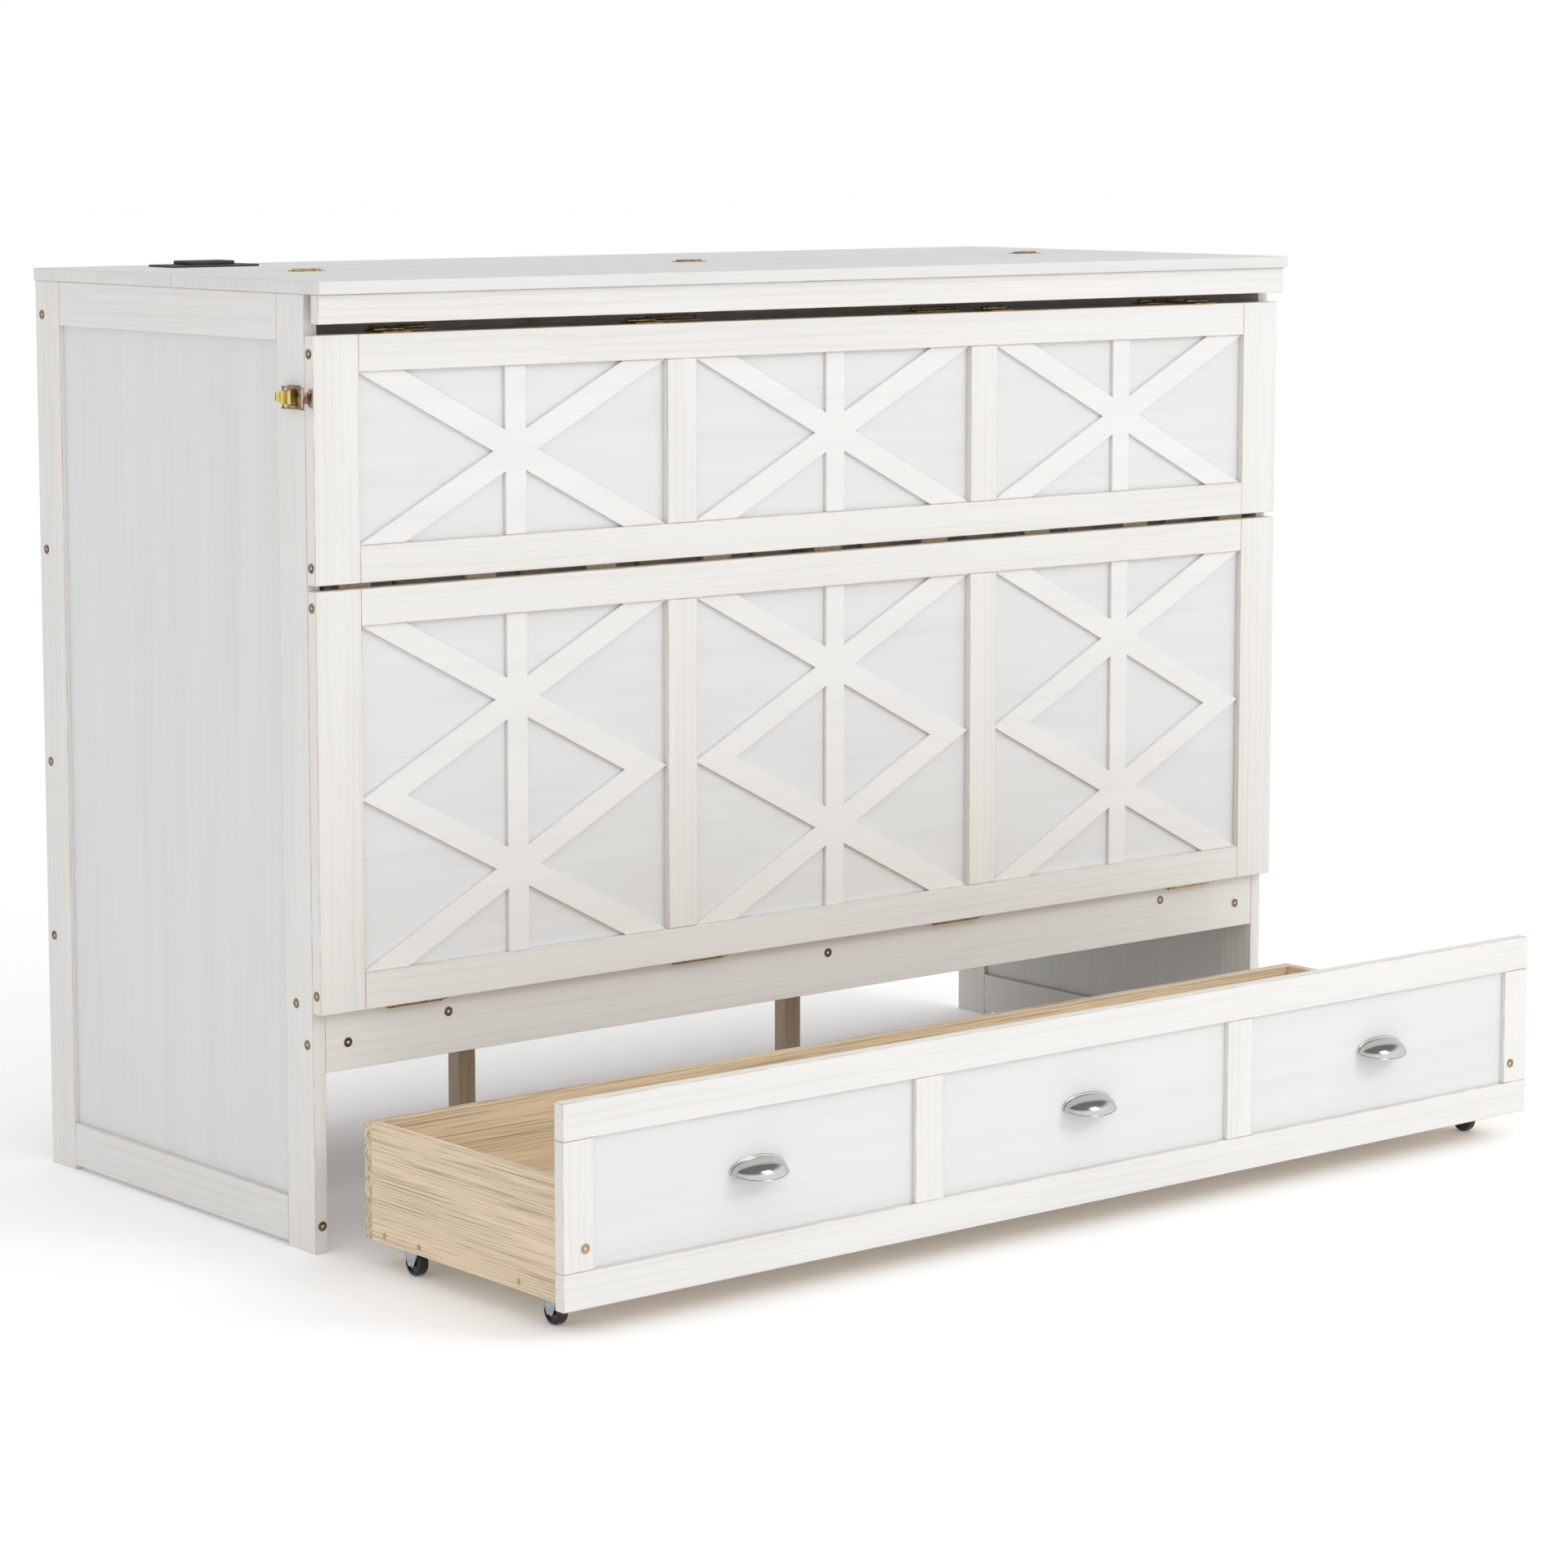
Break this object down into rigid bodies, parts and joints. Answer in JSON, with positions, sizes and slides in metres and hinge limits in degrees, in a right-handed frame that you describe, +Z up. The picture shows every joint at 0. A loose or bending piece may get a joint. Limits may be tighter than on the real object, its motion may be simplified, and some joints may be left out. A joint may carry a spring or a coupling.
{
  "type": "cabinet murphy bed",
  "caption": "Low cabinet bed with a folding lattice front, hinged lid, fold-out slatted extension on leg frames, and a wheeled storage drawer.",
  "frame": {"origin": "on the floor, on the cabinet's middle plane, halfway between the pulls of the drawn-out drawer and the back of the cabinet", "axes": "+X across the cabinet to the right as seen from the front, +Y from the front to the wall, +Z up"},
  "size_m": [1.6402, 1.163, 1.19],
  "materials": {
    "white_wood": "thin white paint over pine and plywood, satin",
    "pine_slats": "planed pine, lightly sealed",
    "oak_board": "printed oak laminate on board, matt",
    "brass_hardware": "yellow-passivated hardware, satin",
    "satin_nickel": "satin nickel",
    "zinc_steel": "zinc plated",
    "black_plastic": "moulded",
    "black_wheel": "solid moulded wheel"
  },
  "bodies": {
    "cabinet": {"left_side_frame": "white_wood", "left_side_panel": "white_wood", "right_side_frame": "white_wood", "right_side_panel": "white_wood", "rear_top_board": "white_wood", "back_panel": "white_wood", "back_rails": "white_wood", "front_rail": "white_wood", "base_slats": "pine_slats", "base_beam": "pine_slats", "base_legs": "pine_slats", "side_bolts": "brass_hardware", "rail_bolts": "brass_hardware", "outlet_housing": "black_plastic", "outlet_plate": "black_plastic", "outlet_sockets": "black_plastic", "lid_hinges_fixed": "brass_hardware", "lid_hinge_pins": "brass_hardware", "rail_hinges_fixed": "brass_hardware", "rail_hinge_pins": "brass_hardware", "latch_base": "brass_hardware"},
    "lid": {"lid_board": "white_wood", "lid_valance": "white_wood", "lid_hinges_moving": "brass_hardware"},
    "front": {"rail_hinges_moving": "brass_hardware", "lower_front_frame": "white_wood", "lower_front_panel": "white_wood", "lower_lattice": "white_wood", "upper_front_frame": "white_wood", "upper_front_panel": "white_wood", "upper_lattice": "white_wood", "front_battens": "pine_slats", "front_bolts": "brass_hardware", "deck_hinges_fixed": "brass_hardware", "deck_hinge_pins": "brass_hardware", "latch_strike": "brass_hardware"},
    "extension": {"deck_hinges_moving": "brass_hardware", "extension_frame": "pine_slats", "extension_slats": "pine_slats", "leg_hinges_fixed": "brass_hardware"},
    "middle_leg": {"middle_leg_frame": "pine_slats", "leg_hinges_moving": "brass_hardware"},
    "foot_leg": {"foot_leg_frame": "pine_slats", "foot_hinges_moving": "brass_hardware"},
    "latch_handle": {"latch_lever": "brass_hardware"},
    "latch_wire": {"latch_loop": "brass_hardware"},
    "drawer": {"drawer_front_frame": "white_wood", "drawer_front_panel": "white_wood", "drawer_box_sides": "oak_board", "drawer_box_back": "oak_board", "drawer_box_bottom": "oak_board", "cup_pulls": "satin_nickel", "drawer_bolts": "brass_hardware", "caster_brackets": "zinc_steel"},
    "front_left_wheel": {"wheel_front_left": "black_wheel"},
    "front_right_wheel": {"wheel_front_right": "black_wheel"},
    "rear_left_wheel": {"wheel_rear_left": "black_wheel"},
    "rear_right_wheel": {"wheel_rear_right": "black_wheel"}
  },
  "joints": [
    {"name": "bed_fold", "type": "hinge", "parent": "cabinet", "child": "front", "pos_m": [0, -0.0527, 0.2948], "axis": [1, 0, 0], "range_deg": [0, 90]},
    {"name": "lid_hinge", "type": "hinge", "parent": "cabinet", "child": "lid", "pos_m": [0, 0.2445, 1.1836], "axis": [-1, 0, 0], "range_deg": [0, 150]},
    {"name": "extension_unfold", "type": "hinge", "parent": "front", "child": "extension", "pos_m": [0, -0.037, 1.1207], "axis": [1, 0, 0], "range_deg": [0, 180]},
    {"name": "middle_leg_unfold", "type": "hinge", "parent": "extension", "child": "middle_leg", "pos_m": [0, -0.001, 1.1207], "axis": [1, 0, 0], "range_deg": [0, 90]},
    {"name": "foot_leg_unfold", "type": "hinge", "parent": "extension", "child": "foot_leg", "pos_m": [0, -0.001, 0.5143], "axis": [-1, 0, 0], "range_deg": [0, 90]},
    {"name": "drawer_roll", "type": "slide", "parent": "cabinet", "child": "drawer", "axis": [0, 1, 0], "range_m": [-0.2, 0.4885]},
    {"name": "latch_turn", "type": "hinge", "parent": "cabinet", "child": "latch_handle", "pos_m": [-0.8195, -0.0275, 1.043], "axis": [0, 0, 1], "range_deg": [0, 120]},
    {"name": "loop_swing", "type": "hinge", "parent": "latch_handle", "child": "latch_wire", "pos_m": [-0.823, -0.0185, 1.043], "axis": [0, 0, -1], "range_deg": [0, 120]},
    {"name": "front_left_wheel_spin", "type": "hinge", "parent": "drawer", "child": "front_left_wheel", "pos_m": [-0.771, -0.4845, 0.016], "axis": [-1, 0, 0], "range_deg": [-720, 1755]},
    {"name": "front_right_wheel_spin", "type": "hinge", "parent": "drawer", "child": "front_right_wheel", "pos_m": [0.771, -0.4845, 0.016], "axis": [-1, 0, 0], "range_deg": [-720, 1755]},
    {"name": "rear_left_wheel_spin", "type": "hinge", "parent": "drawer", "child": "rear_left_wheel", "pos_m": [-0.771, -0.2055, 0.016], "axis": [-1, 0, 0], "range_deg": [-720, 1755]},
    {"name": "rear_right_wheel_spin", "type": "hinge", "parent": "drawer", "child": "rear_right_wheel", "pos_m": [0.771, -0.2055, 0.016], "axis": [-1, 0, 0], "range_deg": [-720, 1755]}
  ],
  "couplings": [
    {"joint": "lid_hinge", "follows": "bed_fold", "ratio": 1.6666},
    {"joint": "extension_unfold", "follows": "bed_fold", "ratio": 2},
    {"joint": "middle_leg_unfold", "follows": "bed_fold", "ratio": 1},
    {"joint": "foot_leg_unfold", "follows": "bed_fold", "ratio": 1},
    {"joint": "loop_swing", "follows": "latch_turn", "ratio": 1},
    {"joint": "front_left_wheel_spin", "follows": "drawer_roll", "rad_per_m": 62.5},
    {"joint": "front_right_wheel_spin", "follows": "drawer_roll", "rad_per_m": 62.5},
    {"joint": "rear_left_wheel_spin", "follows": "drawer_roll", "rad_per_m": 62.5},
    {"joint": "rear_right_wheel_spin", "follows": "drawer_roll", "rad_per_m": 62.5}
  ]
}
